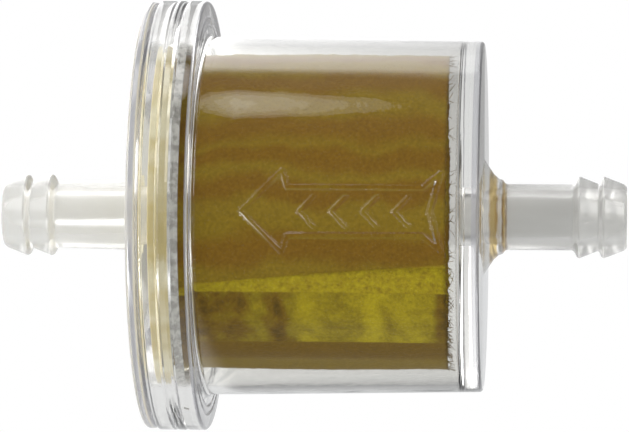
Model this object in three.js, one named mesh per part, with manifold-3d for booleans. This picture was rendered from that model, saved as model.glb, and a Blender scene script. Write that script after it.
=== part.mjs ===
// In-line fuel filter for a small engine: a clear moulded cup and lid, each with its hose nipple, around a
// cloth-covered pleated element. Millimetres, +Z up, the filter's axis along X. Fuel enters the cup's nipple
// at +X and leaves the lid's nipple at -X. The origin is on the axis, half way between the nipple tips.
import * as THREE from 'three';
import { mergeVertices } from 'three/addons/utils/BufferGeometryUtils.js';
import Module from 'manifold-3d';

const wasm = await Module();
wasm.setup();

// Driving dimensions.
const TIP = 30.3;                        // nipple tip, from the middle of the filter
const BORE_RADIUS = 1.9;
const SHANK_RADIUS = 3.2;                // for a hose of 6.35 mm bore
const BARB_RADIUS = 4.0;
const TIP_RADIUS = 3.2;
const TIP_ROUND = 0.3;

const LID_OUTER_X = -16.05;
const LID_RIM_X = -15.15;                // the rim's inner face, which lands on the cup's flange
const LID_PLATE_X = -14.33;              // the plate's inner face
const LID_RADIUS = 20.75;
const SKIRT_RADIUS = 16.4;
const SKIRT_WALL = 0.7;
const SKIRT_END_X = -12.15;
const SPIGOT_RADIUS = 2.85;
const SPIGOT_END_X = -12.6;

const FLANGE_X = -14.85;
const FLANGE_RADIUS = 20.88;
const FLANGE_BACK_X = -10.25;
const FLANGE_CORNER = 0.3;
const FLANGE_FILLET = 1.1;
const BODY_START_X = -8.5;
const BODY_START_RADIUS = 17.42;
const BODY_END_X = 16.5;
const BODY_END_RADIUS = 16.98;
const BODY_ROUND = 0.5;
const WALL = 0.7;
const END_WALL_X = 14.65;                // inner face of the cup's closed end
const INNER_CORNER = 0.3;
// The flared root of the cup's nipple, as [distance from the closed end, r].
const NIPPLE_ROOT = [[0, 5.5], [0.45, 4.8], [0.9, 4.22], [1.3, 3.76], [1.62, 3.6], [1.95, 3.38]];
const ROOT_LENGTH = 2.3;
const LID_ROUND = 0.35;
const LID_NIPPLE_FILLET = [0.35, 0.6];
const LID_ROOT_RADIUS = 3.4;             // the lid's shank widens towards the lid

const GAP = 0.3;                         // between pieces that touch
const CLOTH_RADIUS = 15.25;
const CLOTH_THICKNESS = 0.3;
const CLOTH_LAP_GAP = 0.1;
const CLOTH_START_X = -11.9;
const CLOTH_END_X = 13.5;
const LAP_EDGE_DEG = -27.6;               // angle of the free edge at the lid end, from -Y towards +Z
const LAP_SLANT_DEG = 8;                 // how far the edge climbs along the filter
const LAP_DEG = 32;
const LAP_RISE_DEG = 20;                 // turn in which the strip climbs onto its own start
const CLOTH_STEPS = 78;

const PLEATS = 18;
const PLEAT_OUTER_RADIUS = 14.1;
const PLEAT_INNER_RADIUS = 6.2;
const PLEAT_THICKNESS = 0.5;
const PLEAT_CORNER = 0.45;               // the furthest a fold's outer corner may stand out
const PLEAT_START_X = -12.0;
const PLEAT_END_X = 10.6;
const SEAM_DEG = -90;                    // where the two ends of the pleated strip meet
const SEAM_GAP_DEG = 9;
const SEAM_STRIP = [0.4, 4];             // [thickness, depth]

const TUBE_RADIUS = 4.2;
const TUBE_WALL = 0.9;
const TUBE_START_X = LID_PLATE_X + GAP;
const SLOT_RINGS = 5;
const SLOTS_PER_RING = 6;
const SLOT_LENGTH = 2.6;
const SLOT_WIDTH = 1.5;

const DISC_RADIUS = 14.4;
const DISC_START_X = 11.5;
const DISC_END_X = 12.3;
const POTTING_END_X = -12.3;
const POTTING_SLOPE = 0.6;
const CEMENT_LENGTH = 0.5;
const CEMENT_HEIGHT = 0.75;

const ARROW_Z = 0.45;                    // middle line of the arrow
const ARROW_TIP_X = -5.6;
const ARROW_BARB = [-1.8, 3.75];         // [X, half width]
const ARROW_NECK = [-1.3, 2.25];
const ARROW_TAIL_NECK = [11.3, 2.2];
const ARROW_TAIL = [12.95, 3.55];
const ARROW_NOTCH_X = 11.95;
const LINE_WIDTH = 0.45;
const LINE_HEIGHT = 0.22;
const CHEVRONS = 4;
const CHEVRON_PITCH = 2.95;
const CHEVRON_FIRST_X = -0.5;
const CHEVRON_SIZE = [1.35, 1.35];       // [length, half width]
const CHEVRON_THICKNESS = 0.55;
const PLATE_BACK = 15.6;                 // a flat shape is pushed out from here, through the cup's wall
const PLATE_DEPTH = 3;

const HOUSING_SIDES = 48;
const INNER_SIDES = 36;

// A closed body turned about the X axis. The profile's [x, r] points run towards +X on the outside.
function turned(profile, sides = HOUSING_SIDES) {
  const points = profile.map(([x, r]) => new THREE.Vector2(r, x));
  points.push(points[0].clone());
  return new THREE.LatheGeometry(points, sides).rotateZ(-Math.PI / 2);
}

// A closed body turned about X whose profile starts and ends on the axis.
function turnedSolid(profile, sides = HOUSING_SIDES) {
  const points = profile.map(([x, r]) => new THREE.Vector2(r, x));
  return new THREE.LatheGeometry(points, sides).rotateZ(-Math.PI / 2);
}

function arc(centreX, centreR, radius, fromDeg, toDeg, steps) {
  return Array.from({ length: steps + 1 }, (_, i) => {
    const angle = THREE.MathUtils.degToRad(fromDeg + (toDeg - fromDeg) * i / steps);
    return [centreX + radius * Math.cos(angle), centreR + radius * Math.sin(angle)];
  });
}

function toSolid(geometry) {
  const bare = geometry.clone();
  bare.deleteAttribute('normal');
  bare.deleteAttribute('uv');
  const merged = mergeVertices(bare, 1e-4);
  const index = Array.from(merged.index.array);
  const triVerts = [];
  for (let i = 0; i < index.length; i += 3) {
    const [a, b, c] = index.slice(i, i + 3);
    if (a !== b && b !== c && c !== a) triVerts.push(a, b, c);
  }
  return new wasm.Manifold(new wasm.Mesh({
    numProp: 3,
    vertProperties: new Float32Array(merged.attributes.position.array),
    triVerts: new Uint32Array(triVerts),
  }));
}

function toGeometry(solid) {
  const mesh = solid.getMesh();
  const geometry = new THREE.BufferGeometry();
  geometry.setAttribute('position', new THREE.BufferAttribute(new Float32Array(mesh.vertProperties), 3));
  geometry.setIndex(new THREE.BufferAttribute(new Uint32Array(mesh.triVerts), 1));
  geometry.computeVertexNormals();
  return geometry;
}

// The outside of a hose nipple from its shank to its tip, as [distance from the filter's middle, r].
function barbedTip() {
  return [
    [25.0, SHANK_RADIUS],
    [25.3, SHANK_RADIUS + 0.1],
    [25.55, BARB_RADIUS - 0.06],
    [25.75, BARB_RADIUS],
    [27.55, SHANK_RADIUS + 0.05],
    [27.9, BARB_RADIUS - 0.06],
    [28.1, BARB_RADIUS],
    [TIP - TIP_ROUND, TIP_RADIUS],
    [TIP, TIP_RADIUS - TIP_ROUND],
  ];
}

function flangeRim() {
  const corner = FLANGE_CORNER;
  const fillet = FLANGE_FILLET;
  return [
    [FLANGE_X, FLANGE_RADIUS - 0.2],
    [FLANGE_X + 0.2, FLANGE_RADIUS],
    ...arc(FLANGE_BACK_X - corner, FLANGE_RADIUS - corner, corner, 90, 0, 3),
    ...arc(FLANGE_BACK_X + fillet, BODY_START_RADIUS + fillet, fillet, 180, 270, 5),
    [BODY_START_X, BODY_START_RADIUS],
  ];
}

function cupProfile() {
  const innerRadius = BODY_END_RADIUS - WALL;
  return [
    ...flangeRim(),
    ...arc(BODY_END_X - BODY_ROUND, BODY_END_RADIUS - BODY_ROUND, BODY_ROUND, 90, 0, 3),
    ...NIPPLE_ROOT.map(([x, r]) => [BODY_END_X + x, r]),
    [BODY_END_X + ROOT_LENGTH, SHANK_RADIUS],
    ...barbedTip(),
    [TIP, BORE_RADIUS],
    [END_WALL_X, BORE_RADIUS],
    [END_WALL_X, innerRadius - INNER_CORNER],
    [END_WALL_X - INNER_CORNER, innerRadius],
    [FLANGE_X, BODY_START_RADIUS - WALL],
  ];
}

// A thin raised line along a closed outline.
function outlineRing(points, width) {
  const shape = new THREE.Shape(insetPolygon(points, -width / 2));
  shape.holes.push(new THREE.Path(insetPolygon(points, width / 2)));
  return shape;
}

// Moves each side of an anticlockwise polygon inwards by the given distance.
function insetPolygon(points, distance) {
  const count = points.length;
  return points.map((point, i) => {
    const before = point.clone().sub(points[(i + count - 1) % count]).normalize();
    const after = points[(i + 1) % count].clone().sub(point).normalize();
    const normalBefore = new THREE.Vector2(-before.y, before.x);
    const normalAfter = new THREE.Vector2(-after.y, after.x);
    const bisector = normalBefore.clone().add(normalAfter).normalize();
    const reach = distance / Math.max(bisector.dot(normalAfter), 0.35);
    return point.clone().addScaledVector(bisector, reach);
  });
}

function mirroredOutline(upper) {
  const lower = upper.slice(1, -1).reverse().map(([x, z]) => [x, -z]);
  const all = [...upper, ...lower].map(([x, z]) => new THREE.Vector2(x, z + ARROW_Z));
  return THREE.ShapeUtils.area(all) < 0 ? all.reverse() : all;
}

function arrowOutline() {
  return mirroredOutline([
    [ARROW_TIP_X, 0],
    ARROW_BARB,
    ARROW_NECK,
    ARROW_TAIL_NECK,
    ARROW_TAIL,
    [ARROW_NOTCH_X, 0],
  ]);
}

function chevronOutline(tipX) {
  const [length, half] = CHEVRON_SIZE;
  return mirroredOutline([
    [tipX, 0],
    [tipX + length, half],
    [tipX + length + CHEVRON_THICKNESS, half],
    [tipX + CHEVRON_THICKNESS, 0],
  ]);
}

// A flat shape in X and Z, pushed out towards -Y and cut off a line height above the cup's wall.
function raisedOnWall(shape) {
  const plate = new THREE.ExtrudeGeometry(shape, { depth: PLATE_DEPTH, bevelEnabled: false });
  plate.rotateX(Math.PI / 2).translate(0, -PLATE_BACK, 0);
  const core = turnedSolid([
    [BODY_START_X, 0],
    [BODY_START_X, BODY_START_RADIUS + LINE_HEIGHT],
    [BODY_END_X - BODY_ROUND, BODY_END_RADIUS + LINE_HEIGHT],
    [BODY_END_X - BODY_ROUND, 0],
  ], 144);
  const hollow = turnedSolid([
    [BODY_START_X - 1, 0],
    [BODY_START_X - 1, BODY_START_RADIUS - WALL / 2],
    [BODY_END_X + 1, BODY_END_RADIUS - WALL / 2],
    [BODY_END_X + 1, 0],
  ], 24);
  return toSolid(plate).intersect(toSolid(core)).subtract(toSolid(hollow));
}

function housingCup() {
  let solid = toSolid(turned(cupProfile()));
  solid = solid.add(raisedOnWall(outlineRing(arrowOutline(), LINE_WIDTH)));
  for (let i = 0; i < CHEVRONS; i += 1) {
    const outline = chevronOutline(CHEVRON_FIRST_X + i * CHEVRON_PITCH);
    solid = solid.add(raisedOnWall(new THREE.Shape(outline)));
  }
  return toGeometry(solid);
}

function lid() {
  const nipple = barbedTip().reverse().map(([x, r]) => [-x, r]);
  const [filletX, filletR] = LID_NIPPLE_FILLET;
  return turned([
    [-TIP, BORE_RADIUS],
    ...nipple,
    [LID_OUTER_X - 2 * filletX, LID_ROOT_RADIUS],
    [LID_OUTER_X - filletX, LID_ROOT_RADIUS + filletR / 2],
    [LID_OUTER_X, LID_ROOT_RADIUS + filletR],
    [LID_OUTER_X, LID_RADIUS - LID_ROUND],
    [LID_OUTER_X + LID_ROUND, LID_RADIUS],
    [LID_RIM_X - 0.2, LID_RADIUS],
    [LID_RIM_X, LID_RADIUS - 0.2],
    [LID_RIM_X, SKIRT_RADIUS],
    [SKIRT_END_X, SKIRT_RADIUS],
    [SKIRT_END_X, SKIRT_RADIUS - SKIRT_WALL],
    [LID_PLATE_X, SKIRT_RADIUS - SKIRT_WALL],
    [LID_PLATE_X, SPIGOT_RADIUS],
    [SPIGOT_END_X, SPIGOT_RADIUS],
    [SPIGOT_END_X, BORE_RADIUS],
  ]);
}

// A cloth strip rolled round the element once and a little more, so that its free end laps over its start.
function clothWrap() {
  const turns = 360 + LAP_DEG;
  const steps = CLOTH_STEPS;
  const under = CLOTH_THICKNESS + CLOTH_LAP_GAP;
  const ringAt = (x, slant) => Array.from({ length: steps + 1 }, (_, i) => {
    const travelled = turns * i / steps;
    const rise = THREE.MathUtils.smoothstep(travelled, LAP_DEG, LAP_DEG + LAP_RISE_DEG);
    const outer = CLOTH_RADIUS - under * (1 - rise);
    const degrees = LAP_EDGE_DEG + slant + turns - travelled;
    return { x, outer, inner: outer - CLOTH_THICKNESS, angle: THREE.MathUtils.degToRad(degrees) };
  });
  const positions = [];
  const place = ({ x, angle }, r) => positions.push(x, -r * Math.cos(angle), r * Math.sin(angle));
  const rings = [ringAt(CLOTH_START_X, 0), ringAt(CLOTH_END_X, LAP_SLANT_DEG)];
  rings.forEach((ring) => ring.forEach((p) => {
    place(p, p.outer);
    place(p, p.inner);
  }));
  const vertex = (end, i, inside) => (end * (steps + 1) + i) * 2 + inside;
  const index = [];
  const quad = (a, b, c, d) => index.push(a, c, b, a, d, c);
  for (let i = 0; i < steps; i += 1) {
    quad(vertex(0, i, 0), vertex(1, i, 0), vertex(1, i + 1, 0), vertex(0, i + 1, 0));
    quad(vertex(0, i, 1), vertex(0, i + 1, 1), vertex(1, i + 1, 1), vertex(1, i, 1));
    quad(vertex(0, i, 0), vertex(0, i + 1, 0), vertex(0, i + 1, 1), vertex(0, i, 1));
    quad(vertex(1, i, 0), vertex(1, i, 1), vertex(1, i + 1, 1), vertex(1, i + 1, 0));
  }
  quad(vertex(0, 0, 0), vertex(0, 0, 1), vertex(1, 0, 1), vertex(1, 0, 0));
  quad(vertex(0, steps, 0), vertex(1, steps, 0), vertex(1, steps, 1), vertex(0, steps, 1));
  const geometry = new THREE.BufferGeometry();
  geometry.setAttribute('position', new THREE.Float32BufferAttribute(positions, 3));
  geometry.setIndex(index);
  geometry.computeVertexNormals();
  return geometry;
}

function polar(radius, degrees) {
  const angle = THREE.MathUtils.degToRad(degrees);
  return new THREE.Vector2(radius * Math.cos(angle), radius * Math.sin(angle));
}

// A shape drawn in the Y-Z plane, pushed out along +X from startX to endX.
function alongAxis(shape, startX, endX) {
  const geometry = new THREE.ExtrudeGeometry(shape, { depth: endX - startX, bevelEnabled: false });
  return geometry.rotateX(Math.PI / 2).rotateZ(Math.PI / 2).translate(startX, 0, 0);
}

// The outline of a folded strip seen end on: its centre line moved half a thickness to each side. A fold's
// outer corner is cut short so that it stays blunt.
function foldedStrip(centreLine, thickness, longestCorner) {
  const last = centreLine.length - 1;
  const half = thickness / 2;
  const sideOf = (sign) => centreLine.map((point, i) => {
    const before = point.clone().sub(centreLine[Math.max(i - 1, 0)]);
    const after = centreLine[Math.min(i + 1, last)].clone().sub(point);
    if (i === 0) before.copy(after);
    if (i === last) after.copy(before);
    before.normalize();
    after.normalize();
    const across = new THREE.Vector2(-before.y - after.y, before.x + after.x).normalize();
    const full = half / across.dot(new THREE.Vector2(-after.y, after.x));
    const turnsAway = before.cross(after) * sign < 0;
    const reach = turnsAway ? Math.min(full, longestCorner) : full;
    return point.clone().addScaledVector(across, reach * sign);
  });
  return new THREE.Shape([...sideOf(-1), ...sideOf(1).reverse()]);
}

// A strip folded into deep pleats round the centre tube; its two ends stand side by side at the seam.
function pleatedMedia() {
  const folds = PLEATS * 2;
  const step = (360 - SEAM_GAP_DEG) / folds;
  const centreLine = Array.from({ length: folds + 1 }, (_, i) => {
    const radius = i % 2 === 0 ? PLEAT_OUTER_RADIUS : PLEAT_INNER_RADIUS;
    return polar(radius, SEAM_DEG + SEAM_GAP_DEG / 2 + step * i);
  });
  return alongAxis(foldedStrip(centreLine, PLEAT_THICKNESS, PLEAT_CORNER), PLEAT_START_X, PLEAT_END_X);
}

function mediaSeamStrip() {
  const [thickness, depth] = SEAM_STRIP;
  const half = thickness / 2;
  const shape = new THREE.Shape([
    new THREE.Vector2(-half, -PLEAT_OUTER_RADIUS),
    new THREE.Vector2(half, -PLEAT_OUTER_RADIUS),
    new THREE.Vector2(half, -PLEAT_OUTER_RADIUS + depth),
    new THREE.Vector2(-half, -PLEAT_OUTER_RADIUS + depth),
  ]);
  return alongAxis(shape, PLEAT_START_X, PLEAT_END_X);
}

function centreTube() {
  let solid = toSolid(turned([
    [TUBE_START_X, TUBE_RADIUS - TUBE_WALL],
    [TUBE_START_X, TUBE_RADIUS],
    [PLEAT_END_X, TUBE_RADIUS],
    [PLEAT_END_X, TUBE_RADIUS - TUBE_WALL],
  ], INNER_SIDES));
  const pitch = (PLEAT_END_X - PLEAT_START_X) / SLOT_RINGS;
  for (let ring = 0; ring < SLOT_RINGS; ring += 1) {
    for (let i = 0; i < SLOTS_PER_RING / 2; i += 1) {
      const cutter = new THREE.BoxGeometry(SLOT_LENGTH, SLOT_WIDTH, TUBE_RADIUS * 3);
      cutter.rotateX(Math.PI * 2 * i / SLOTS_PER_RING + (ring % 2) * Math.PI / SLOTS_PER_RING);
      cutter.translate(PLEAT_START_X + pitch * (ring + 0.5), 0, 0);
      solid = solid.subtract(toSolid(cutter));
    }
  }
  return toGeometry(solid);
}

function inletEndDisc() {
  return turnedSolid([
    [DISC_START_X, 0],
    [DISC_START_X, DISC_RADIUS - 0.2],
    [DISC_START_X + 0.2, DISC_RADIUS],
    [DISC_END_X - 0.2, DISC_RADIUS],
    [DISC_END_X, DISC_RADIUS - 0.2],
    [DISC_END_X, 0],
  ], INNER_SIDES);
}

function inletGluePad() {
  const radius = DISC_RADIUS - 0.3;
  return turnedSolid([
    [PLEAT_END_X + GAP, 0],
    [PLEAT_END_X + GAP, radius],
    [DISC_START_X - GAP, radius],
    [DISC_START_X - GAP, 0],
  ], INNER_SIDES);
}

function pottingBed() {
  const outer = SKIRT_RADIUS - SKIRT_WALL - GAP;
  const inner = TUBE_RADIUS + GAP;
  return turned([
    [LID_PLATE_X + GAP, inner],
    [LID_PLATE_X + GAP, outer],
    [POTTING_END_X - 0.3, outer],
    [POTTING_END_X, outer - POTTING_SLOPE],
    [POTTING_END_X - 0.15, inner],
  ], INNER_SIDES);
}

// Adhesive squeezed out where the lid's skirt ends inside the cup.
function jointCementRing() {
  const outer = BODY_START_RADIUS - WALL - GAP;
  const start = SKIRT_END_X + GAP;
  return turned([
    [start, outer - CEMENT_HEIGHT],
    [start, outer],
    [start + CEMENT_LENGTH, outer],
    [start + CEMENT_LENGTH / 2, outer - CEMENT_HEIGHT / 2],
  ], INNER_SIDES);
}

const CLEAR = { color: 0xe6e8e4, roughness: 0.08, metalness: 0, transparent: true, opacity: 0.35 };
const CLOTH = { color: 0x7d6a26, roughness: 0.85, metalness: 0 };
const PAPER = { color: 0xa8924e, roughness: 0.9, metalness: 0 };
const GLUE = { color: 0xd9cf9e, roughness: 0.4, metalness: 0 };
const WHITE_PLASTIC = { color: 0xe4e1d6, roughness: 0.5, metalness: 0 };

const group = new THREE.Group();

function addPart(name, geometry, look) {
  const mesh = new THREE.Mesh(geometry, new THREE.MeshStandardMaterial(look));
  mesh.name = name;
  group.add(mesh);
}

addPart('housing_cup', housingCup(), CLEAR);
addPart('lid', lid(), CLEAR);
addPart('cloth_wrap', clothWrap(), CLOTH);
addPart('pleated_media', pleatedMedia(), PAPER);
addPart('media_seam_strip', mediaSeamStrip(), GLUE);
addPart('centre_tube', centreTube(), WHITE_PLASTIC);
addPart('inlet_end_disc', inletEndDisc(), WHITE_PLASTIC);
addPart('inlet_glue_pad', inletGluePad(), GLUE);
addPart('potting_bed', pottingBed(), GLUE);
addPart('joint_cement_ring', jointCementRing(), GLUE);

export default group;
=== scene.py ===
import math

import bpy
import numpy as np
from mathutils import Matrix, Vector


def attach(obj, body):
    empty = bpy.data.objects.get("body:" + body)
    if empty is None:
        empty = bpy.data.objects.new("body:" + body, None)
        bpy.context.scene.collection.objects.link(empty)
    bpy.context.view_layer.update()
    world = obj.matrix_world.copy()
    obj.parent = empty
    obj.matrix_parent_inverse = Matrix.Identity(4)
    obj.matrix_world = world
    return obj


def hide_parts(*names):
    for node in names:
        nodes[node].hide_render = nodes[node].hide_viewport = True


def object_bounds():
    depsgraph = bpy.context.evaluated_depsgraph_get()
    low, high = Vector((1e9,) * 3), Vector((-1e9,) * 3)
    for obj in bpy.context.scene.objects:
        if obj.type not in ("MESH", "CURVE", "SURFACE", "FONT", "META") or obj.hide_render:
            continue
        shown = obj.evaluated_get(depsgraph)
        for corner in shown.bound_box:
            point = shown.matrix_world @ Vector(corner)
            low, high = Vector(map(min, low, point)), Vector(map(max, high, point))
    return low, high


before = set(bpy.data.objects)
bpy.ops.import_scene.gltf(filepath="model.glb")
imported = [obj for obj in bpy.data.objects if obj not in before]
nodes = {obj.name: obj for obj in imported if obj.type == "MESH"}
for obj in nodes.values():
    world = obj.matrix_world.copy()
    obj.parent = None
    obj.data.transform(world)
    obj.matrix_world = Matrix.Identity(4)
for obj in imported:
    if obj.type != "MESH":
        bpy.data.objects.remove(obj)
cad_low, cad_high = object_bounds()
scene = bpy.context.scene
MM = 0.001

# Sizes of the filter in millimetres, the same as in the CAD frame.
TIP_X = cad_high.x / MM
BORE_RADIUS = 1.9
SHANK_RADIUS = 3.2
BARB_RADIUS = 4.0
LID_ROOT_RADIUS = 3.42
LID_OUTER_X = -16.05
LID_RIM_X = -15.15
LID_PLATE_X = -14.33
LID_RADIUS = 20.75
SKIRT_RADIUS = 16.4
SKIRT_INNER_RADIUS = 15.7
SKIRT_END_X = -12.15
SPIGOT_RADIUS = 2.85
SPIGOT_END_X = -12.6
FLANGE_X = -14.85
FLANGE_RADIUS = cad_high.z / MM
FLANGE_BACK_X = -10.25
BODY_START_X = -8.5
BODY_START_RADIUS = 17.42
BODY_END_X = 16.5
BODY_END_RADIUS = 16.98
WALL = 0.7
END_WALL_X = 14.65
CLOTH_RADIUS = 15.25
CLOTH_THICKNESS = 0.3
CLOTH_LAP_GAP = 0.1
CLOTH_START_X = -11.9
CLOTH_END_X = 13.5
LAP_EDGE_DEG = -27.6
LAP_SLANT_DEG = 8.0
LAP_DEG = 32.0
LAP_RISE_DEG = 20

CLOTH_LIFT = (0.0, 0.0, 0.38)

ARROW_ZONE_X = (-6.3, 13.6)
ARROW_Z = 0.45
ARROW_HALF = [(-5.6, 0.0), (-1.8, 3.75), (-1.3, 2.25), (11.3, 2.2), (12.95, 3.55), (11.95, 0.0)]
LINE_WIDTH = 0.68
LINE_HEIGHT = 0.28
CHEVRON_TIPS_X = (-0.2, 2.75, 5.7, 8.65)
CHEVRON_LENGTH = 1.35
CHEVRON_WIDTH = 0.6

# Where the plastic is less clear: the nipples, the ends' outer rings and the flange's back.
CUP_END_FACE_X = 15.8
LID_END_FACE_X = 15.0
CUP_NIPPLE_X = 16.7
LID_NIPPLE_X = 16.15
NIPPLE_ZONE_RADIUS = 6
END_RING_RADIUS = 14
FLANGE_RING_RADIUS = 18.3


# ---- mesh makers ----------------------------------------------------------------------------------------

def add_mesh(name, points, faces, sharp_deg=32):
    """A smooth-shaded object from points in millimetres, with its sharp edges kept."""
    mesh = bpy.data.meshes.new(name)
    mesh.from_pydata((np.asarray(points) * MM).tolist(), [], faces)
    mesh.update()
    mesh.shade_smooth()
    mesh.set_sharp_from_angle(angle=math.radians(sharp_deg))
    obj = bpy.data.objects.new(name, mesh)
    scene.collection.objects.link(obj)
    return obj


def round_the_axis(x, r, degrees):
    """Points at x, r and an angle that runs from -Y towards +Z."""
    angle = np.radians(degrees)
    return np.stack([x, -r * np.cos(angle), r * np.sin(angle)], -1)


def filleted(corners, step_deg=12):
    """A closed outline from (x, r, fillet radius) corners."""
    outline = []
    for i, (x, r, radius) in enumerate(corners):
        here = Vector((x, r))
        to_last = Vector(corners[i - 1][:2]) - here
        to_next = Vector(corners[(i + 1) % len(corners)][:2]) - here
        half = to_last.angle(to_next) / 2
        if radius <= 0 or half > math.radians(88):
            outline.append((x, r))
            continue
        reach = min(radius / math.tan(half), to_last.length * 0.48, to_next.length * 0.48)
        centre = here + (to_last.normalized() + to_next.normalized()).normalized() * (reach / math.cos(half))
        start = here + to_last.normalized() * reach - centre
        turn = start.angle_signed(here + to_next.normalized() * reach - centre)
        steps = max(2, round(abs(math.degrees(turn)) / step_deg))
        for k in range(steps + 1):
            c, s = math.cos(turn * k / steps), math.sin(turn * k / steps)
            outline.append((centre.x + start.x * c + start.y * s, centre.y - start.x * s + start.y * c))
    return outline


def subdivided(outline, longest, low=-1e9, high=1e9):
    """The outline with its long sides between x = low and x = high cut into short steps."""
    finer = []
    for (ax, ar), (bx, br) in zip(outline, outline[1:] + outline[:1]):
        inside = min(ax, bx) >= low and max(ax, bx) <= high
        pieces = max(1, math.ceil(math.hypot(bx - ax, br - ar) / longest)) if inside else 1
        finer += [(ax + (bx - ax) * k / pieces, ar + (br - ar) * k / pieces) for k in range(pieces)]
    return finer


def turned(name, outline, degrees, swell=None):
    """A closed body turned about X. swell(x, r, degrees) gives how far each point moves outwards."""
    count = len(degrees)
    x, deg = np.meshgrid([p[0] for p in outline], degrees, indexing="ij")
    r = np.repeat(np.array([p[1] for p in outline])[:, None], count, 1)
    if swell is not None:
        r = r + swell(x, r, deg)
    faces = []
    for i in range(len(outline)):
        row, above = i * count, (i + 1) % len(outline) * count
        faces += [(row + j, above + j, above + (j + 1) % count, row + (j + 1) % count) for j in range(count)]
    return add_mesh(name, round_the_axis(x, r, deg).reshape(-1, 3), faces)


def smooth(low, high, value):
    """Rises softly from 0 at low to 1 at high."""
    t = np.clip((value - low) / (high - low), 0, 1)
    return t * t * (3 - 2 * t)


def ripple(x, degrees, seed, cycles):
    """Soft unevenness from -1 to 1 that closes on itself round the axis."""
    rng = np.random.default_rng(seed)
    total = np.zeros(np.broadcast(x, degrees).shape)
    for _ in range(cycles):
        turns = rng.integers(1, 14)
        pitch = rng.uniform(0.05, 0.5)
        total += np.sin(np.radians(degrees) * turns + x * pitch + rng.uniform(0, 6.3)) / cycles
    return total


# ---- clear housing --------------------------------------------------------------------------------------

def barbed_tip():
    """Corners of the outside of a nipple's two barbs and its tip."""
    return [
        (25.15, SHANK_RADIUS, 0.35),
        (25.6, BARB_RADIUS + 0.02, 0.3),
        (27.6, SHANK_RADIUS + 0.02, 0.2),
        (27.95, BARB_RADIUS + 0.02, 0.3),
        (TIP_X - 0.25, SHANK_RADIUS, 0.3),
        (TIP_X, SHANK_RADIUS - 0.25, 0.15),
    ]


def body_radius(x):
    """Radius of the cup's body, which tapers towards its closed end."""
    share = (x - BODY_START_X) / (BODY_END_X - BODY_START_X)
    return BODY_START_RADIUS + (BODY_END_RADIUS - BODY_START_RADIUS) * share


def groove(middle, across, depth, along_x):
    """Three corners of a shallow groove, along the rim's side or across its flat back."""
    steps = ((-across, 0.0), (0.0, depth), (across, 0.0))
    if along_x:
        return [(middle + step, FLANGE_RADIUS - down, 0.05) for step, down in steps]
    return [(FLANGE_BACK_X - down, middle - step, 0.05) for step, down in steps]


def cup_outline():
    """The cup in section, with its flange, closed end and nipple."""
    return filleted([
        (FLANGE_X, FLANGE_RADIUS, 0.2),
        *groove(-13.1, 0.2, 0.09, True),
        *groove(-12.1, 0.25, 0.12, True),
        (FLANGE_BACK_X, FLANGE_RADIUS, 0.3),
        *groove(19.3, 0.2, 0.16, False),
        *groove(18.5, 0.15, 0.1, False),
        (FLANGE_BACK_X, BODY_START_RADIUS, 1.1),
        *[(x, body_radius(x), 0) for x in (*ARROW_ZONE_X, CUP_END_FACE_X)],
        (BODY_END_X, BODY_END_RADIUS, 0.5),
        (BODY_END_X, 5.6, 0.5),
        (17.45, 4.15, 0.6),
        (17.95, 3.7, 0.25),
        (18.3, 3.6, 0.2),
        (18.6, SHANK_RADIUS, 0.3),
        *barbed_tip(),
        (TIP_X, BORE_RADIUS, 0.1),
        (END_WALL_X, BORE_RADIUS, 0.1),
        (END_WALL_X, BODY_END_RADIUS - WALL, 0.4),
        (FLANGE_X, BODY_START_RADIUS - WALL, 0.1),
    ])


def lid_outline():
    """The lid in section, with its nipple, rim, plug skirt and spigot."""
    nipple = [(-x, r, f) for x, r, f in reversed(barbed_tip())]
    return filleted([
        (-TIP_X, BORE_RADIUS, 0.1),
        *nipple,
        (LID_OUTER_X, LID_ROOT_RADIUS, 0.45),
        (LID_OUTER_X, LID_RADIUS, 0.35),
        (LID_RIM_X, LID_RADIUS, 0.25),
        (LID_RIM_X, SKIRT_RADIUS, 0.1),
        (SKIRT_END_X, SKIRT_RADIUS, 0.15),
        (SKIRT_END_X, SKIRT_INNER_RADIUS, 0.15),
        (LID_PLATE_X, SKIRT_INNER_RADIUS, 0.2),
        (LID_PLATE_X, SPIGOT_RADIUS, 0.2),
        (SPIGOT_END_X, SPIGOT_RADIUS, 0.2),
        (SPIGOT_END_X, BORE_RADIUS, 0.1),
    ])


def strokes():
    """The raised lines on the cup's front as (start, end, width), in X and Z."""
    upper = [(x, ARROW_Z + z) for x, z in ARROW_HALF]
    lower = [(x, ARROW_Z - z) for x, z in ARROW_HALF]
    lines = [(a, b, LINE_WIDTH) for side in (upper, lower) for a, b in zip(side, side[1:])]
    for tip in CHEVRON_TIPS_X:
        for z in (CHEVRON_LENGTH, -CHEVRON_LENGTH):
            lines.append(((tip, ARROW_Z), (tip + CHEVRON_LENGTH, ARROW_Z + z), CHEVRON_WIDTH))
    return lines


def raised_lines(x, r, degrees):
    """Height of the raised lines on the cup's wall, rounded across each line."""
    z = r * np.sin(np.radians(degrees))
    height = np.zeros(x.shape)
    for (ax, az), (bx, bz), width in strokes():
        dx, dz = bx - ax, bz - az
        t = np.clip(((x - ax) * dx + (z - az) * dz) / (dx * dx + dz * dz), 0, 1)
        near = np.clip(1 - (np.hypot(x - ax - t * dx, z - az - t * dz) / (width / 2)) ** 2, 0, 1)
        height = np.maximum(height, smooth(0, 0.9, near))
    facing = np.cos(np.radians(degrees)) > 0.8
    outside = (r > BODY_END_RADIUS - 0.05) & (r < BODY_START_RADIUS + 0.1)
    return np.where(facing & outside, height * LINE_HEIGHT, 0.0)


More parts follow.
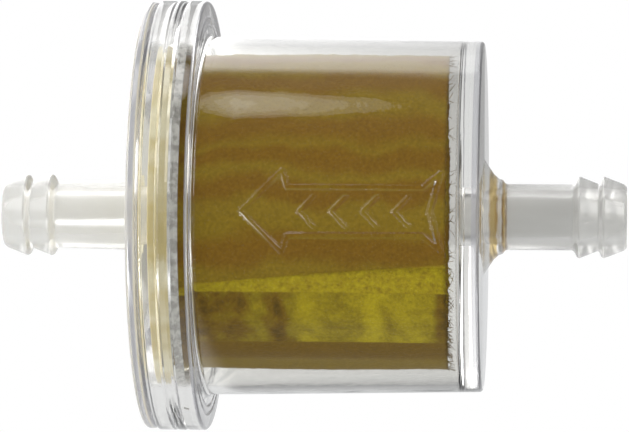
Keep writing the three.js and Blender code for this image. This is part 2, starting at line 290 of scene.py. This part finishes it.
# The cup's front has a finer mesh, for the raised lines.
ARROW_DEG = (-12.6, 15.6)
FINE_STEP = 0.1
FINE_DEG = 0.26
COARSE_DEG = 3.0
EVEN_DEG = 1.4
fine = np.arange(ARROW_DEG[0], ARROW_DEG[1], FINE_DEG)
around = np.concatenate([fine, np.arange(ARROW_DEG[1], ARROW_DEG[0] + 360, COARSE_DEG)])
even = np.arange(0, 360, EVEN_DEG)

cup = turned("clear_cup", subdivided(cup_outline(), FINE_STEP, *ARROW_ZONE_X), around, raised_lines)
lid = turned("clear_lid", lid_outline(), even)


# ---- potting and cement ---------------------------------------------------------------------------------

def potting_lumps(x, r, degrees):
    """Uneven free surface of the adhesive; its sides in the skirt stay round."""
    return np.where(x > -13.0, ripple(x, degrees, 5, 9) * 0.12, 0.0)


potting = turned("potting_cast", subdivided(filleted([
    (LID_PLATE_X - 0.02, 4.5, 0.1),
    (LID_PLATE_X - 0.02, SKIRT_INNER_RADIUS + 0.02, 0.1),
    (-12.55, SKIRT_INNER_RADIUS + 0.02, 0.1),
    (-12.3, 15.1, 0.2),
    (-12.35, 4.6, 0.2),
]), 0.5), even, potting_lumps)


def cement_lumps(x, r, degrees):
    """Small beads along the cement's free edge."""
    return np.where(x > -11.95, ripple(x * 6, degrees * 3, 11, 12) * 0.14 - 0.06, 0.0)


cement = turned("joint_cement", subdivided(filleted([
    (-12.12, 15.75, 0.05),
    (-12.12, 16.66, 0.05),
    (-11.4, 16.66, 0.1),
    (-11.55, 16.2, 0.1),
]), 0.12), even, cement_lumps)


# ---- cloth wrap -----------------------------------------------------------------------------------------

CLOTH_STEPS = 480
CLOTH_ROWS = 64
PLEAT_PITCH_DEG = 19.5


def cloth_points(along, across):
    """The strip's points in x, r and degrees. along is 0 at the covered end and 1 at the free edge."""
    turns = 360 + LAP_DEG
    travelled = turns * along
    slant = LAP_SLANT_DEG * np.sin(across * math.pi / 2)
    degrees = LAP_EDGE_DEG + slant + turns - travelled
    rise = smooth(LAP_DEG, LAP_DEG + LAP_RISE_DEG, travelled)
    r = CLOTH_RADIUS - (CLOTH_THICKNESS + CLOTH_LAP_GAP) * (1 - rise)
    x = CLOTH_START_X + (CLOTH_END_X - CLOTH_START_X) * across
    return x, r, degrees


steps_along = np.linspace(0, 1, CLOTH_STEPS + 1)
steps_across = np.linspace(0, 1, CLOTH_ROWS + 1)
along, across = np.meshgrid(steps_along, steps_across, indexing="ij")
cloth_x, cloth_r, cloth_deg = cloth_points(along, across)
sag = 0.1 * np.cos(np.radians((cloth_deg - 7) * 360 / PLEAT_PITCH_DEG)) * np.sin(across * math.pi)
edge_wander = ripple(0 * cloth_x, cloth_deg * 7, 3, 12) * 0.16 * smooth(0.94, 1.0, across)
cloth_x = cloth_x + edge_wander - 0.12 * smooth(0.9, 1, across)
cloth_r = cloth_r + sag - 0.06
outer = round_the_axis(cloth_x, cloth_r, cloth_deg).reshape(-1, 3) + CLOTH_LIFT
inner = round_the_axis(cloth_x, cloth_r - CLOTH_THICKNESS, cloth_deg).reshape(-1, 3) + CLOTH_LIFT
row = CLOTH_ROWS + 1
sheet_size = len(outer)
cloth_faces = []
for i in range(CLOTH_STEPS):
    for j in range(CLOTH_ROWS):
        a, b, c, d = i * row + j, (i + 1) * row + j, (i + 1) * row + j + 1, i * row + j + 1
        cloth_faces.append((a, b, c, d))
        cloth_faces.append((d + sheet_size, c + sheet_size, b + sheet_size, a + sheet_size))
rim = [i * row for i in range(CLOTH_STEPS + 1)]
rim += [CLOTH_STEPS * row + j for j in range(1, row)]
rim += [i * row + CLOTH_ROWS for i in range(CLOTH_STEPS - 1, -1, -1)]
rim += list(range(CLOTH_ROWS - 1, 0, -1))
for a, b in zip(rim, rim[1:] + rim[:1]):
    cloth_faces.append((b, a, a + sheet_size, b + sheet_size))
cloth = add_mesh("cloth_roll", np.concatenate([outer, inner]), cloth_faces, 50)


# ---- loose fibres at the cloth's cut end ----------------------------------------------------------------

FIBRES = 150
FIBRE_RADIUS = 0.045
FIBRE_STEPS = 5


def fibre_path(rng):
    """One fibre's middle line, from inside the cloth's cut end outwards, in x, r and degrees."""
    degrees = rng.uniform(0, 360) if rng.random() < 0.55 else rng.uniform(-62, -15)
    length = rng.uniform(0.4, 1.15)
    lean = rng.uniform(-3.5, 3.5)
    curl = rng.uniform(-2.5, 2.5)
    t = np.linspace(0, 1, FIBRE_STEPS)
    x = CLOTH_END_X - 0.3 + length * t * (1 - 0.15 * t)
    r = CLOTH_RADIUS - 0.1 + rng.uniform(-0.05, 0.45) * t ** 2
    return x, r, degrees + lean * t + curl * t ** 2


def fibre_mesh(name, seed):
    """Thin three-sided fibres as one object, each closed at both ends."""
    rng = np.random.default_rng(seed)
    points = []
    faces = []
    for _ in range(FIBRES):
        path = round_the_axis(*fibre_path(rng)) + CLOTH_LIFT
        first = len(points)
        for k, middle in enumerate(path):
            ahead = path[min(k + 1, FIBRE_STEPS - 1)] - path[max(k - 1, 0)]
            ahead /= np.linalg.norm(ahead)
            side = np.cross(ahead, (0.3, 0.5, 0.8))
            side /= np.linalg.norm(side)
            thick = FIBRE_RADIUS * (1 - 0.6 * k / FIBRE_STEPS)
            for turn in (0, 2.1, 4.2):
                outwards = side * math.cos(turn) + np.cross(ahead, side) * math.sin(turn)
                points.append(middle + outwards * thick)
        for k in range(FIBRE_STEPS - 1):
            a = first + k * 3
            faces += [(a + i, a + (i + 1) % 3, a + 3 + (i + 1) % 3, a + 3 + i) for i in range(3)]
        last = first + (FIBRE_STEPS - 1) * 3
        faces += [(first + 2, first + 1, first), (last, last + 1, last + 2)]
    return add_mesh(name, np.array(points), faces, 80)


fibres = fibre_mesh("cloth_fibres", 8)


# ---- materials ------------------------------------------------------------------------------------------

def new_material(name):
    """A material with a Principled shader, its node tree and its output."""
    material = bpy.data.materials.new(name)
    material.use_nodes = True
    tree = material.node_tree
    tree.nodes.clear()
    output = tree.nodes.new("ShaderNodeOutputMaterial")
    shader = tree.nodes.new("ShaderNodeBsdfPrincipled")
    tree.links.new(shader.outputs[0], output.inputs["Surface"])
    return material, tree, shader, output


def join(tree, socket, value):
    """Feeds a socket from another one, or sets it to a plain value."""
    if isinstance(value, bpy.types.NodeSocket):
        tree.links.new(value, socket)
    elif isinstance(value, (tuple, list)) and len(value) == 3 and socket.type == "RGBA":
        socket.default_value = (*value, 1)
    else:
        socket.default_value = value


def node(tree, kind, inputs=(), **settings):
    """A node with its inputs given by name or number, and its settings by keyword."""
    made = tree.nodes.new(kind)
    for key, value in settings.items():
        setattr(made, key, value)
    for key, value in dict(inputs).items():
        join(tree, made.inputs[key], value)
    return made


def maths(tree, operation, a, b=0.0):
    return node(tree, "ShaderNodeMath", {0: a, 1: b}, operation=operation).outputs[0]


def mapped(tree, value, low, high, to_low=0.0, to_high=1.0, kind="SMOOTHSTEP"):
    made = node(tree, "ShaderNodeMapRange", {0: value, 1: low, 2: high, 3: to_low, 4: to_high})
    made.interpolation_type = kind
    return made.outputs[0]


def blend(tree, factor, a, b, mode="MIX"):
    made = node(tree, "ShaderNodeMix", data_type="RGBA", blend_type=mode)
    for number, value in ((0, factor), (6, a), (7, b)):
        join(tree, made.inputs[number], value)
    return made.outputs[2]


def ramp(tree, factor, stops, kind="EASE"):
    made = node(tree, "ShaderNodeValToRGB", {0: factor})
    elements = made.color_ramp.elements
    made.color_ramp.interpolation = kind
    while len(elements) < len(stops):
        elements.new(1.0)
    for element, (place, colour) in zip(elements, stops):
        element.position = place
        element.color = (*colour, 1)
    return made.outputs[0]


def noise(tree, place, scale, detail=2.0, roughness=0.5):
    inputs = {"Vector": place, "Scale": scale, "Detail": detail, "Roughness": roughness}
    return node(tree, "ShaderNodeTexNoise", inputs).outputs[0]


def bump(tree, height, strength, distance):
    inputs = {"Height": height, "Strength": strength, "Distance": distance}
    return node(tree, "ShaderNodeBump", inputs).outputs[0]


def even_colour(tree, level):
    """A colour with the same level in each channel."""
    return node(tree, "ShaderNodeCombineXYZ", {0: level, 1: level, 2: level}).outputs[0]


def object_place(tree):
    return node(tree, "ShaderNodeTexCoord").outputs["Object"]


def srgb(r, g, b):
    """A colour given in display steps, 0 to 255."""
    return tuple(((c / 255 + 0.055) / 1.055) ** 2.4 if c > 10 else c / 255 / 12.92 for c in (r, g, b))


def grey(level):
    return (level, level, level)


# Surface effects that several materials share, each one node group.

def effect_group(name, inputs, outputs):
    """An empty node group with the given inputs (label, kind, start value) and outputs (label, kind)."""
    tree = bpy.data.node_groups.new(name, "ShaderNodeTree")
    for label, kind, start in inputs:
        socket = tree.interface.new_socket(label, in_out="INPUT", socket_type="NodeSocket" + kind)
        if start is not None:
            socket.default_value = start
    for label, kind in outputs:
        tree.interface.new_socket(label, in_out="OUTPUT", socket_type="NodeSocket" + kind)
    return tree, tree.nodes.new("NodeGroupInput").outputs, tree.nodes.new("NodeGroupOutput").inputs


def mottle_group():
    """Soft patches between a dark and a light colour, and the patches themselves from 0 to 1."""
    inputs = [
        ("Vector", "Vector", None),
        ("Scale", "Float", 500.0),
        ("Dark", "Color", None),
        ("Light", "Color", None),
    ]
    tree, given, result = effect_group("mottle", inputs, [("Color", "Color"), ("Patches", "Float")])
    patches = mapped(tree, noise(tree, given["Vector"], given["Scale"], 4.0), 0.32, 0.68)
    tree.links.new(blend(tree, patches, given["Dark"], given["Light"]), result["Color"])
    tree.links.new(patches, result["Patches"])
    return tree


def grain_group():
    """Fine grain as a factor round 1 for a colour, and as a height."""
    inputs = [("Vector", "Vector", None), ("Scale", "Float", 3000.0), ("Depth", "Float", 0.1)]
    tree, given, result = effect_group("grain", inputs, [("Color", "Color"), ("Height", "Float")])
    specks = noise(tree, given["Vector"], given["Scale"], 3.0, 0.75)
    height = mapped(tree, specks, 0.25, 0.75, 0.0, 1.0, "LINEAR")
    swing = maths(tree, "MULTIPLY", maths(tree, "SUBTRACT", height, 0.5), given["Depth"])
    factor = maths(tree, "ADD", swing, 1.0)
    tree.links.new(even_colour(tree, factor), result["Color"])
    tree.links.new(height, result["Height"])
    return tree


MOTTLE = mottle_group()
GRAIN = grain_group()


def mottle(tree, place, scale, dark, light):
    inputs = {"Vector": place, "Scale": scale, "Dark": dark, "Light": light}
    return node(tree, "ShaderNodeGroup", inputs, node_tree=MOTTLE).outputs


def grain(tree, place, scale, depth):
    inputs = {"Vector": place, "Scale": scale, "Depth": depth}
    return node(tree, "ShaderNodeGroup", inputs, node_tree=GRAIN).outputs


AMBER = (0.62, 0.4, 0.1)
DARK_AMBER = (0.3, 0.17, 0.05)
PASSED_LIGHT = (0.93, 0.932, 0.935)


def stained(tree, place, colour):
    """The colour with two amber rings of old fuel at the root of the inlet nipple."""
    x = node(tree, "ShaderNodeSeparateXYZ", {0: place}).outputs[0]
    uneven = mapped(tree, noise(tree, place, 900.0, 3.0), 0.3, 0.7, -0.08 * MM, 0.08 * MM, "LINEAR")
    along = mapped(tree, maths(tree, "ADD", x, uneven), 17 * MM, 19.5 * MM, 0.0, 1.0, "LINEAR")
    rings = ramp(tree, along, [
        (0.0, grey(1.0)), (0.08, AMBER), (0.3, AMBER), (0.36, grey(1.0)), (0.48, grey(1.0)),
        (0.54, DARK_AMBER), (0.6, AMBER), (0.72, grey(1.0)),
    ], "LINEAR")
    return blend(tree, 1.0, colour, rings, "MULTIPLY")


def moulded_plastic(name, colour, clearness, roughness, waviness, stain=False):
    """Clear moulded plastic. Lamps and bounced light pass straight through, so that what is inside is lit."""
    material, tree, shader, output = new_material(name)
    shader.inputs["IOR"].default_value = 1.5
    shader.inputs["Transmission Weight"].default_value = clearness
    place = object_place(tree)
    flow = mottle(tree, place, 160.0, tuple(c * 0.985 for c in colour), colour)
    tint = stained(tree, place, flow["Color"]) if stain else flow["Color"]
    join(tree, shader.inputs["Base Color"], tint)
    join(tree, shader.inputs["Roughness"], mapped(tree, flow["Patches"], 0, 1, roughness, roughness * 1.6))
    join(tree, shader.inputs["Normal"], bump(tree, flow["Patches"], 0.12, waviness))
    path = node(tree, "ShaderNodeLightPath")
    straight_on = node(tree, "ShaderNodeBsdfTransparent", {0: PASSED_LIGHT}).outputs[0]
    last = shader.outputs[0]
    for ray in ("Is Shadow Ray", "Is Diffuse Ray"):
        last = node(tree, "ShaderNodeMixShader", {0: path.outputs[ray], 1: last, 2: straight_on}).outputs[0]
    tree.links.new(last, output.inputs["Surface"])
    return material


BROWN = srgb(127, 94, 22)
OLIVE = srgb(136, 112, 28)
YELLOW_GREEN = srgb(178, 160, 30)
DULL_YELLOW = srgb(142, 124, 28)
DARK_BROWN = srgb(120, 93, 24)
DEEP = srgb(80, 64, 24)

# Middles and half widths, in degrees from -Y towards +Z, of the folds behind the cloth, painted as shade that
# darkens the cloth where the folds block the light passing through it.
FOLD_PAINTED_SHADE = (
    (52, 7), (31, 7), (19, 4.5), (7, 5), (-14, 7),
    (72, 6), (95, 7), (118, 6), (136, 8), (158, 6), (-92, 6), (-112, 7), (-134, 6), (-155, 7), (-172, 6),
)
# Places along the filter, in millimetres, and brightness of the paper behind the single layer, painted as the
# light let through it.
WINDOW_LET_THROUGH_LIGHT = (
    (-11.9, 0.25), (-9.5, 0.3), (-6.3, 0.34), (-4.3, 0.55), (-2.4, 0.28), (-1.2, 0.5), (0.0, 0.72),
    (1.2, 0.7), (3.2, 0.55), (5.0, 0.62), (6.5, 0.95), (8.0, 0.62), (10.2, 0.8), (11.9, 0.6),
    (12.8, 0.25), (13.6, 0.2),
)
WINDOW_TOP_DEG = -30.1
WINDOW_BOTTOM_DEG = -53.3
HEM_BOTTOM_DEG = -65.0


def filter_cloth():
    """Woven cloth, with painted shade in brown where two layers lie over a fold and painted let-through light
    in yellow-green where one layer lies; painted shade also darkens the cut end.
    """
    material, tree, shader, _ = new_material("filter_cloth")
    place = object_place(tree)
    x, y, z = node(tree, "ShaderNodeSeparateXYZ", {0: place}).outputs
    z = maths(tree, "SUBTRACT", z, CLOTH_LIFT[2] * MM)
    wander = mapped(tree, noise(tree, place, 130.0, 3.0, 0.6), 0.3, 0.7, -4.0, 4.0, "LINEAR")
    radians = maths(tree, "ARCTAN2", z, maths(tree, "MULTIPLY", y, -1.0))
    angle = maths(tree, "MULTIPLY", radians, 180 / math.pi)
    soft_angle = maths(tree, "ADD", angle, wander)
    # Painted shade: brown bands where the folds behind the cloth block the light passing through it.
    shade = None
    for middle, half in FOLD_PAINTED_SHADE:
        away = maths(tree, "ABSOLUTE", maths(tree, "SUBTRACT", soft_angle, float(middle)))
        one = mapped(tree, away, half * 0.25, half * 1.3, 1.0, 0.0)
        shade = one if shade is None else maths(tree, "MAXIMUM", shade, one)
    double = blend(tree, shade, OLIVE, BROWN)
    # Painted light let through the single layer: a tone along the filter picks dark brown up to yellow-green.
    span = (CLOTH_END_X - CLOTH_START_X + 0.4) * MM
    along = mapped(tree, x, CLOTH_START_X * MM, CLOTH_START_X * MM + span, 0.0, 1.0, "LINEAR")
    stops = [((place_x - CLOTH_START_X) * MM / span, grey(tone)) for place_x, tone in WINDOW_LET_THROUGH_LIGHT]
    tone = ramp(tree, along, stops, "EASE")
    blotch = mapped(tree, noise(tree, place, 700.0, 4.0), 0.3, 0.7, -0.16, 0.16, "LINEAR")
    tone = maths(tree, "ADD", node(tree, "ShaderNodeRGBToBW", {0: tone}).outputs[0], blotch)
    single_stops = [(0.1, DEEP), (0.3, DARK_BROWN), (0.55, DULL_YELLOW), (0.9, YELLOW_GREEN)]
    single = ramp(tree, tone, single_stops, "LINEAR")
    # The hem under the lap edge is also one layer: crimp noise mixes olive with the yellow-green of painted
    # let-through light.
    crimp = mapped(tree, noise(tree, place, 1500.0, 3.0, 0.7), 0.3, 0.7, 0.35, 1.05, "LINEAR")
    hem = ramp(tree, crimp, [(0.2, OLIVE), (0.9, YELLOW_GREEN)], "LINEAR")
    in_window = maths(
        tree, "MULTIPLY",
        mapped(tree, angle, WINDOW_BOTTOM_DEG - 0.4, WINDOW_BOTTOM_DEG + 0.4),
        mapped(tree, angle, WINDOW_TOP_DEG - 0.5, WINDOW_TOP_DEG + 0.5, 1.0, 0.0),
    )
    lap_degrees = (LAP_EDGE_DEG, LAP_EDGE_DEG + LAP_SLANT_DEG)
    lap = mapped(tree, x, CLOTH_START_X * MM, CLOTH_END_X * MM, *lap_degrees, "LINEAR")
    in_hem = maths(
        tree, "MULTIPLY",
        mapped(tree, angle, WINDOW_TOP_DEG - 0.5, WINDOW_TOP_DEG + 0.5),
        mapped(tree, maths(tree, "SUBTRACT", angle, lap), 0.0, 1.6, 1.0, 0.0),
    )
    in_seam = maths(
        tree, "MULTIPLY",
        mapped(tree, angle, HEM_BOTTOM_DEG - 3, HEM_BOTTOM_DEG + 3),
        mapped(tree, angle, WINDOW_BOTTOM_DEG - 0.4, WINDOW_BOTTOM_DEG + 0.4, 1.0, 0.0),
    )
    colour = blend(tree, in_window, double, single)
    colour = blend(tree, in_hem, colour, hem)
    colour = blend(tree, in_seam, colour, DARK_BROWN)
    # Painted shade, darker towards the cloth's cut end.
    end_shade = mapped(tree, x, (CLOTH_END_X - 0.45) * MM, (CLOTH_END_X - 0.05) * MM, 0.0, 0.6)
    colour = blend(tree, end_shade, colour, DEEP)
    weave = grain(tree, place, 3600.0, 0.55)
    join(tree, shader.inputs["Base Color"], blend(tree, 1.0, colour, weave["Color"], "MULTIPLY"))
    shader.inputs["Roughness"].default_value = 0.85
    shader.inputs["Specular IOR Level"].default_value = 0.15
    shader.inputs["Sheen Weight"].default_value = 0.1
    join(tree, shader.inputs["Normal"], bump(tree, weave["Height"], 0.6, 0.00012))
    return material


def mottled(name, dark, light, roughness, scale):
    """A matt or satin look with soft patches of two colours and a fine grain."""
    material, tree, shader, _ = new_material(name)
    place = object_place(tree)
    patches = mottle(tree, place, scale, dark, light)
    fine = grain(tree, place, scale * 5, 0.12)
    join(tree, shader.inputs["Base Color"], blend(tree, 1.0, patches["Color"], fine["Color"], "MULTIPLY"))
    spread = (roughness - 0.08, roughness + 0.08)
    join(tree, shader.inputs["Roughness"], mapped(tree, patches["Patches"], 0.0, 1.0, *spread))
    join(tree, shader.inputs["Normal"], bump(tree, fine["Height"], 0.4, 0.00005))
    return material


clear = moulded_plastic("clear_plastic", (0.965, 0.96, 0.935), 1.0, 0.02, 0.00006)
rim_plastic = moulded_plastic("dulled_plastic", (0.52, 0.52, 0.54), 0.65, 0.07, 0.0001)
nipple_plastic = moulded_plastic("clouded_plastic", (0.72, 0.715, 0.69), 0.7, 0.14, 0.00015, stain=True)
cloth_look = filter_cloth()
paper_look = mottled("filter_paper", srgb(160, 140, 70), srgb(180, 160, 90), 0.85, 900.0)
adhesive_look = mottled("adhesive", srgb(208, 190, 132), srgb(240, 232, 200), 0.4, 330.0)
cement_look = mottled("clear_cement", srgb(146, 144, 138), srgb(186, 184, 178), 0.25, 1600.0)
white_look = mottled("white_plastic", srgb(216, 212, 200), srgb(234, 232, 224), 0.45, 700.0)


def wear(obj, material):
    obj.data.materials.clear()
    obj.data.materials.append(material)


for obj, material, slot, replaced in (
    (cup, clear, "clear_plastic", "housing_cup"),
    (lid, clear, "clear_plastic", "lid"),
    (potting, adhesive_look, "adhesive", "potting_bed"),
    (cement, cement_look, "clear_cement", "joint_cement_ring"),
    (cloth, cloth_look, "filter_cloth", "cloth_wrap"),
    (fibres, cloth_look, "filter_cloth", "cloth_wrap"),
):
    wear(obj, material)
    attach(obj, "root")
    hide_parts(replaced)

for name, material in (
    ("pleated_media", paper_look),
    ("media_seam_strip", adhesive_look),
    ("centre_tube", white_look),
    ("inlet_end_disc", white_look),
    ("inlet_glue_pad", adhesive_look),
):
    wear(nodes[name], material)

# The thick rims are a little dull, and the nipples are clouded.
for obj, nipple_side, start, end_face in (
    (cup, 1, CUP_NIPPLE_X, CUP_END_FACE_X),
    (lid, -1, LID_NIPPLE_X, LID_END_FACE_X),
):
    obj.data.materials.append(rim_plastic)
    obj.data.materials.append(nipple_plastic)
    for face in obj.data.polygons:
        middle = face.center / MM
        radius = math.hypot(middle.y, middle.z)
        on_flange_back = FLANGE_BACK_X - 0.3 < middle.x < BODY_START_X - 1 and radius > FLANGE_RING_RADIUS
        if middle.x * nipple_side > start and radius < NIPPLE_ZONE_RADIUS:
            face.material_index = 2
        elif middle.x * nipple_side > end_face and radius > END_RING_RADIUS:
            face.material_index = 1
        elif obj is cup and on_flange_back:
            face.material_index = 1


# ---- camera ---------------------------------------------------------------------------------------------

CAMERA_PLACE = Vector((27.3, -366.0, 0)) * MM
CAMERA_LENS = 215.8
CAMERA_ROLL_DEG = 0.29

camera_data = bpy.data.cameras.new("camera")
camera_data.lens = CAMERA_LENS
camera_data.sensor_width = 36
camera_data.clip_start = 0.01
camera_data.clip_end = 50
camera = bpy.data.objects.new("camera", camera_data)
scene.collection.objects.link(camera)
camera.location = CAMERA_PLACE
camera.rotation_euler = (-CAMERA_PLACE).to_track_quat("-Z", "Y").to_euler()
camera.rotation_euler.rotate_axis("Z", math.radians(CAMERA_ROLL_DEG))
scene.camera = camera


# ---- floor, surroundings and lamps ----------------------------------------------------------------------

def white_to_camera(tree, other, output, white_kind):
    """Joins a white for what the camera sees directly with another look for everything else."""
    seen = node(tree, "ShaderNodeLightPath").outputs["Is Camera Ray"]
    white = node(tree, white_kind, {0: (1.0, 1.0, 1.0), 1: 1.0}).outputs[0]
    mix = node(tree, "ShaderNodeMixShader", {0: seen, 1: other, 2: white})
    tree.links.new(mix.outputs[0], output.inputs["Surface"])


FLOOR_HALF = 1.5
FLOOR_GLOW = 0.8
FLOOR_FRONT_GLOW = 0.02
FLOOR_LEFT_GLOW = 1.6
FLOOR_RIGHT_GLOW = 0.5
FLOOR_LIGHT = 1.1
FLOOR_DROP = 0.0002
# Where the floor's glow changes, in metres from the filter's middle.
FRONT_EDGE = (0.018, 0.034)
SIDE_EDGE = 0.01
BACK_EDGE = (-0.008, 0.014)
RIM_EDGE = (-0.012, -0.007)
RIM_SHIFT = 0.035
# A narrow bright glow painted on the floor in front, to the left, turned towards the filter, standing in for
# a lit card.
CARD_PLACE = (-0.044, -0.07)
CARD_SINE = -0.42
CARD_COSINE = 0.907
CARD_HALF_LENGTH = (0.03, 0.05)
CARD_HALF_WIDTH = (0.006, 0.012)
CARD_GLOW = 24.0
floor_z = cad_low.z - FLOOR_DROP
floor_mesh = bpy.data.meshes.new("floor")
corners = [(x * FLOOR_HALF, y * FLOOR_HALF, floor_z) for x, y in ((-1, -1), (1, -1), (1, 1), (-1, 1))]
floor_mesh.from_pydata(corners, [], [(0, 1, 2, 3)])
floor = bpy.data.objects.new("floor", floor_mesh)
scene.collection.objects.link(floor)
floor_look, tree, shader, output = new_material("pale_floor")
tree.nodes.remove(shader)
floor_x, floor_y, _ = node(tree, "ShaderNodeSeparateXYZ", {0: object_place(tree)}).outputs
beside = maths(tree, "ADD", maths(tree, "ABSOLUTE", floor_x), maths(tree, "MULTIPLY", floor_y, 0.2))
side_glow = mapped(tree, floor_x, -SIDE_EDGE, SIDE_EDGE, FLOOR_LEFT_GLOW, FLOOR_RIGHT_GLOW)
# Painted shadow seen in the plastic: the floor's glow is nearly nothing in a wedge in front of the filter and
# dim right under it, rising to the bright back behind it.
front = mapped(tree, beside, *FRONT_EDGE, FLOOR_FRONT_GLOW, side_glow)
# Under the rim and the lid the bright back of the floor reaches further to the front.
nearer = mapped(tree, floor_x, *RIM_EDGE, RIM_SHIFT, 0.0)
to_back = mapped(tree, maths(tree, "ADD", floor_y, nearer), *BACK_EDGE)
back_glow = maths(tree, "MULTIPLY", to_back, FLOOR_GLOW)
card_x = maths(tree, "SUBTRACT", floor_x, CARD_PLACE[0])
card_y = maths(tree, "SUBTRACT", floor_y, CARD_PLACE[1])
card_sides = []
for x_share, y_share in ((CARD_SINE, -CARD_COSINE), (CARD_COSINE, CARD_SINE)):
    from_x = maths(tree, "MULTIPLY", card_x, x_share)
    from_y = maths(tree, "MULTIPLY", card_y, y_share)
    card_sides.append(maths(tree, "ABSOLUTE", maths(tree, "ADD", from_x, from_y)))
lengthways = mapped(tree, card_sides[0], *CARD_HALF_LENGTH, CARD_GLOW, 0.0)
widthways = mapped(tree, card_sides[1], *CARD_HALF_WIDTH, 1.0, 0.0)
painted_card_glow = maths(tree, "MULTIPLY", lengthways, widthways)
back_glow = maths(tree, "ADD", back_glow, painted_card_glow)
front_glow = maths(tree, "MULTIPLY", front, maths(tree, "SUBTRACT", 1.0, to_back))
strength = maths(tree, "ADD", front_glow, back_glow)
bounced = node(tree, "ShaderNodeLightPath").outputs["Is Diffuse Ray"]
strength = mapped(tree, bounced, 0.0, 1.0, strength, FLOOR_LIGHT, "LINEAR")
glow = node(tree, "ShaderNodeEmission", {0: (0.98, 0.99, 1.0), 1: strength}).outputs[0]
white_to_camera(tree, glow, output, "ShaderNodeEmission")
floor_mesh.materials.append(floor_look)

# Brightness of the room by the sine of the height above the horizon.
BRIGHTEST = 4.0
BEHIND = (
    (-1, 0.4), (-0.05, 0.7), (0.0, 1.05), (0.3, 1.25), (0.6, 1.4),
    (0.72, 1.6), (0.8, 2.15), (0.94, 2.2), (0.965, 0.1), (1, 0.04),
)
BEFORE = ((-1, 0.1), (-0.3, 0.06), (0.0, 0.04), (0.8, 0.04), (1, 0.04))
LEFT_SIDE = 1.3
RIGHT_SIDE = 0.35
# A narrow upright shade behind the rim: its direction, the half width of its edge and its level.
RIM_SHADE_AT = -0.1115
RIM_SHADE_EDGE = (0.0105, 0.0135)
RIM_SHADE_LEVEL = 0.28
# The light behind is stronger to the left.
SLOPE_ENDS = (-0.16, 0.04)
SLOPE_LEVELS = (2.05, 0.4)
SIDE_ZONE = (0.35, 0.6)

world = bpy.data.worlds.new("studio")
scene.world = world
world.use_nodes = True
tree = world.node_tree
tree.nodes.clear()
world_output = node(tree, "ShaderNodeOutputWorld")
gaze = node(tree, "ShaderNodeSeparateXYZ", {0: node(tree, "ShaderNodeTexCoord").outputs["Generated"]})
to_side, to_back, up = gaze.outputs
climb = mapped(tree, up, -1.0, 1.0, 0.0, 1.0, "LINEAR")
behind = ramp(tree, climb, [((sine + 1) / 2, grey(level / BRIGHTEST)) for sine, level in BEHIND], "LINEAR")
before = ramp(tree, climb, [((sine + 1) / 2, grey(level / BRIGHTEST)) for sine, level in BEFORE], "LINEAR")
leftwards = mapped(tree, to_side, *SLOPE_ENDS, *SLOPE_LEVELS, "LINEAR")
over_rim = maths(tree, "ABSOLUTE", maths(tree, "SUBTRACT", to_side, RIM_SHADE_AT))
rim_shade = mapped(tree, over_rim, *RIM_SHADE_EDGE, RIM_SHADE_LEVEL, 1.0)
leftwards = maths(tree, "MULTIPLY", leftwards, rim_shade)
behind = blend(tree, 1.0, behind, even_colour(tree, leftwards), "MULTIPLY")
room = blend(tree, mapped(tree, to_back, -0.12, 0.12), before, behind)
room = blend(tree, mapped(tree, to_side, -SIDE_ZONE[0], -SIDE_ZONE[1]), room, grey(LEFT_SIDE / BRIGHTEST))
room = blend(tree, mapped(tree, to_side, *SIDE_ZONE), room, grey(RIGHT_SIDE / BRIGHTEST))
glow = node(tree, "ShaderNodeBackground", {0: room, 1: BRIGHTEST}).outputs[0]
white_to_camera(tree, glow, world_output, "ShaderNodeBackground")


def round_lamp(name, place, across, along_size, radiance):
    """An oval soft lamp that faces the filter, with sizes in millimetres and the brightness of its face."""
    data = bpy.data.lights.new(name, "AREA")
    data.shape = "ELLIPSE"
    data.size = across * MM
    data.size_y = along_size * MM
    data.energy = radiance * math.pi * along_size * across * MM * MM
    lamp = bpy.data.objects.new(name, data)
    scene.collection.objects.link(lamp)
    away = Vector(place).normalized()
    sideways = (Vector((1, 0, 0)) - away * away.x).normalized()
    turn = Matrix((sideways.cross(away), sideways, away)).transposed()
    lamp.matrix_world = Matrix.Translation(Vector(place) * MM) @ turn.to_4x4()


# Four lamps one inside another, so that the overhead light fades towards its edge.
OVERHEAD_PLACE = Vector((-88, -132, 482))
OVERHEAD_SIZES = ((245, 172), (225, 150), (200, 126), (170, 100))
OVERHEAD_RADIANCE = 0.85
SIDE_PLACE = (420, -330, 260)
SIDE_SIZE = (380, 300)
SIDE_RADIANCE = 3.2

for number, size in enumerate(OVERHEAD_SIZES):
    place = OVERHEAD_PLACE + Vector((number, 0, 0))
    round_lamp(f"soft_overhead_{number}", place, *size, OVERHEAD_RADIANCE)
for name, side in (("side_left", -1), ("side_right", 1)):
    round_lamp(name, (side * SIDE_PLACE[0], *SIDE_PLACE[1:]), *SIDE_SIZE, SIDE_RADIANCE)

scene.view_settings.view_transform = "Standard"
scene.cycles.caustics_reflective = False
scene.cycles.caustics_refractive = False
scene.cycles.max_bounces = 24
scene.cycles.transmission_bounces = 24
scene.cycles.transparent_max_bounces = 32
